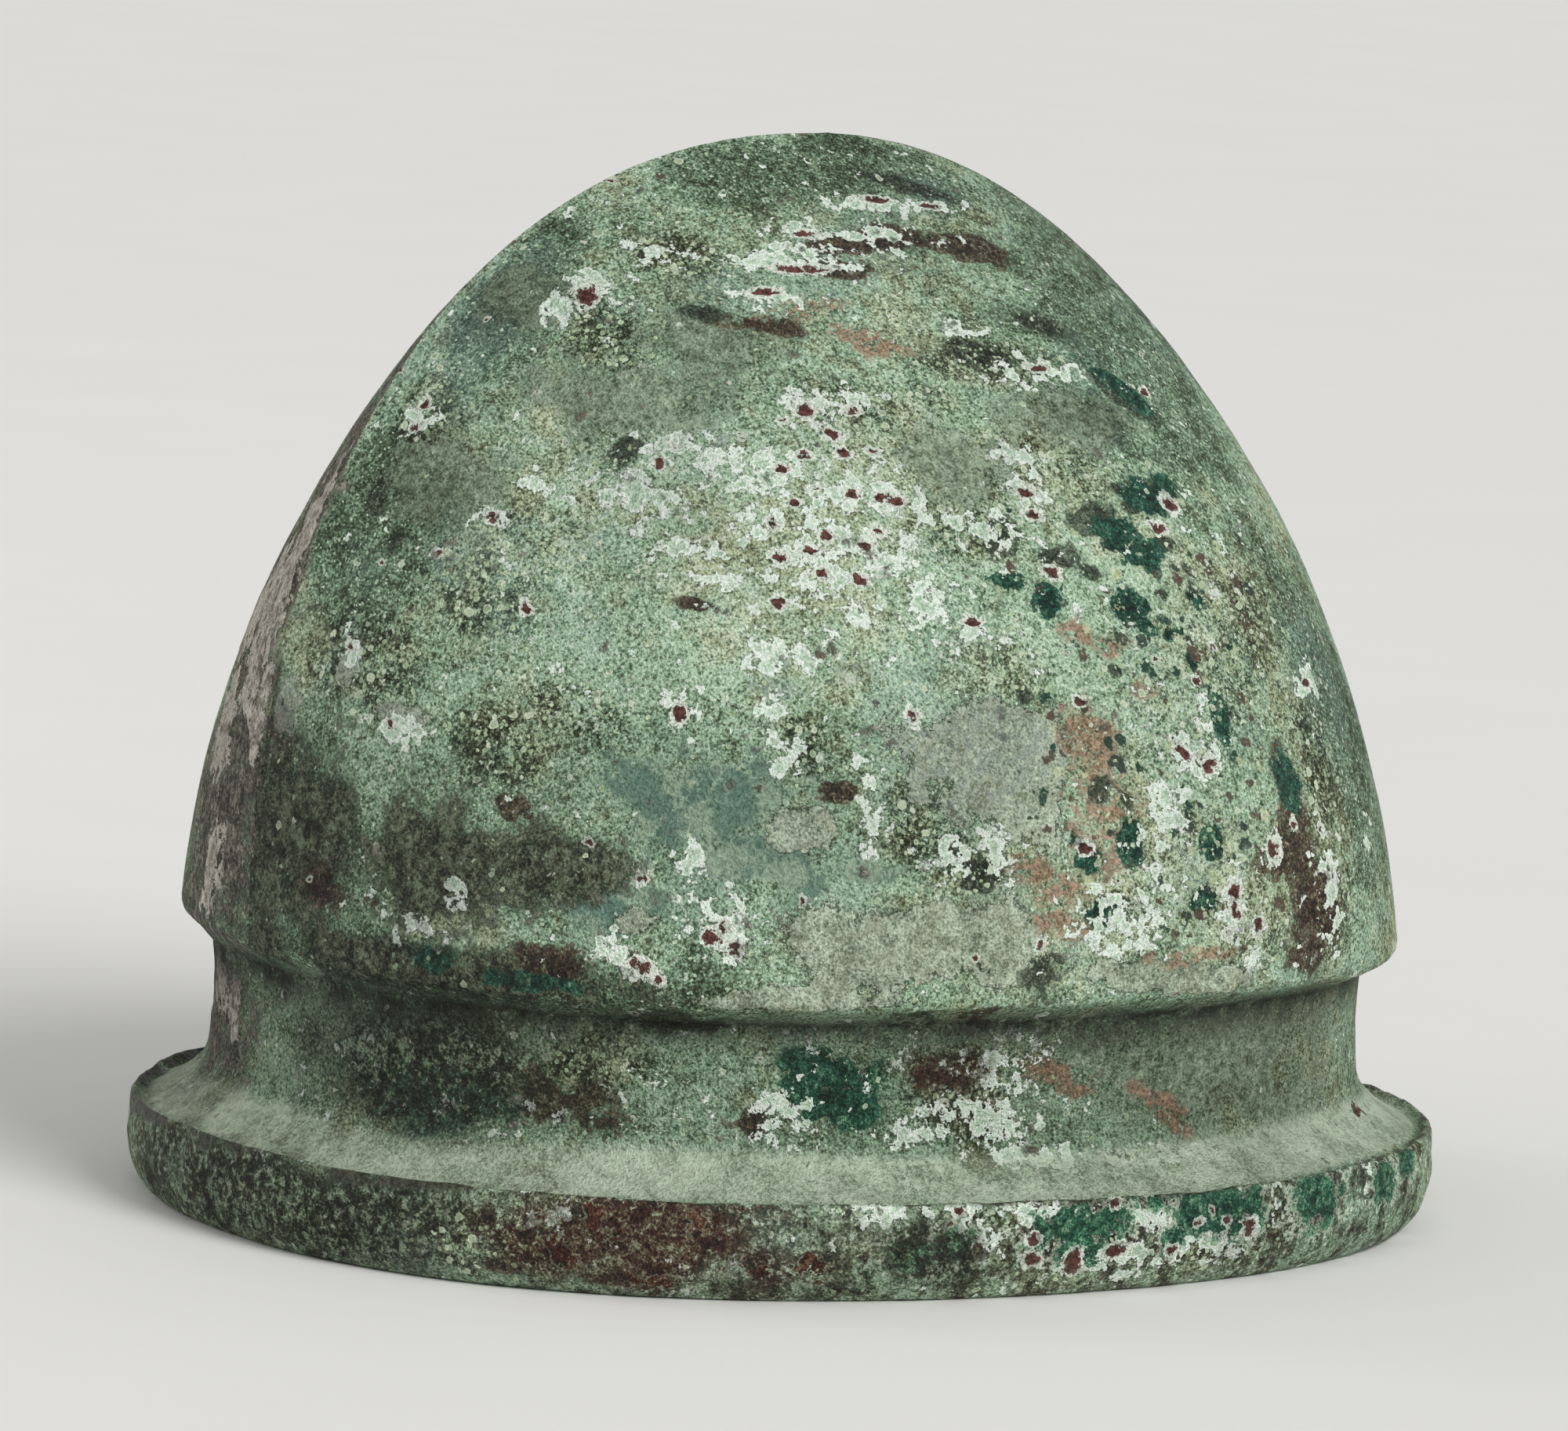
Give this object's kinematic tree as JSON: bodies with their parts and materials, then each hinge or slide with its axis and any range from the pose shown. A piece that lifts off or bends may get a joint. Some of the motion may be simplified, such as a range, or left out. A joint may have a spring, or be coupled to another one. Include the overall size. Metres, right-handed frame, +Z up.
{
  "type": "negau helmet",
  "caption": "Keeled bronze bowl helmet with undercut neck and hollow flat brim, closed below by a perforated lining ring.",
  "frame": {"origin": "bottom centre of the bounding box, on the plane that the rim stands on", "axes": "+Z up, +Y towards the back of the helmet with the ridge in the plane x = 0, +X towards the wearer's right side as seen in the picture"},
  "size_m": [0.2154, 0.2454, 0.1995],
  "materials": {
    "bowl_patina": "corroded bronze: matt green malachite crust with pale flakes, red cuprite spots and brown stains",
    "ring_patina": "corroded bronze: matt dark green with brown stains",
    "solder": "dull grey oxidised tin and lead solder",
    "fitting_bronze": "brown-green patinated bronze, slightly worn on the edges"
  },
  "bodies": {
    "root": {"bowl": "bowl_patina", "lining_ring": "ring_patina", "ring_solder": "solder", "strap_bridge_right": "fitting_bronze", "strap_rivet_right_front": "fitting_bronze", "strap_rivet_right_back": "fitting_bronze", "strap_bridge_left": "fitting_bronze", "strap_rivet_left_front": "fitting_bronze", "strap_rivet_left_back": "fitting_bronze"}
  },
  "joints": []
}
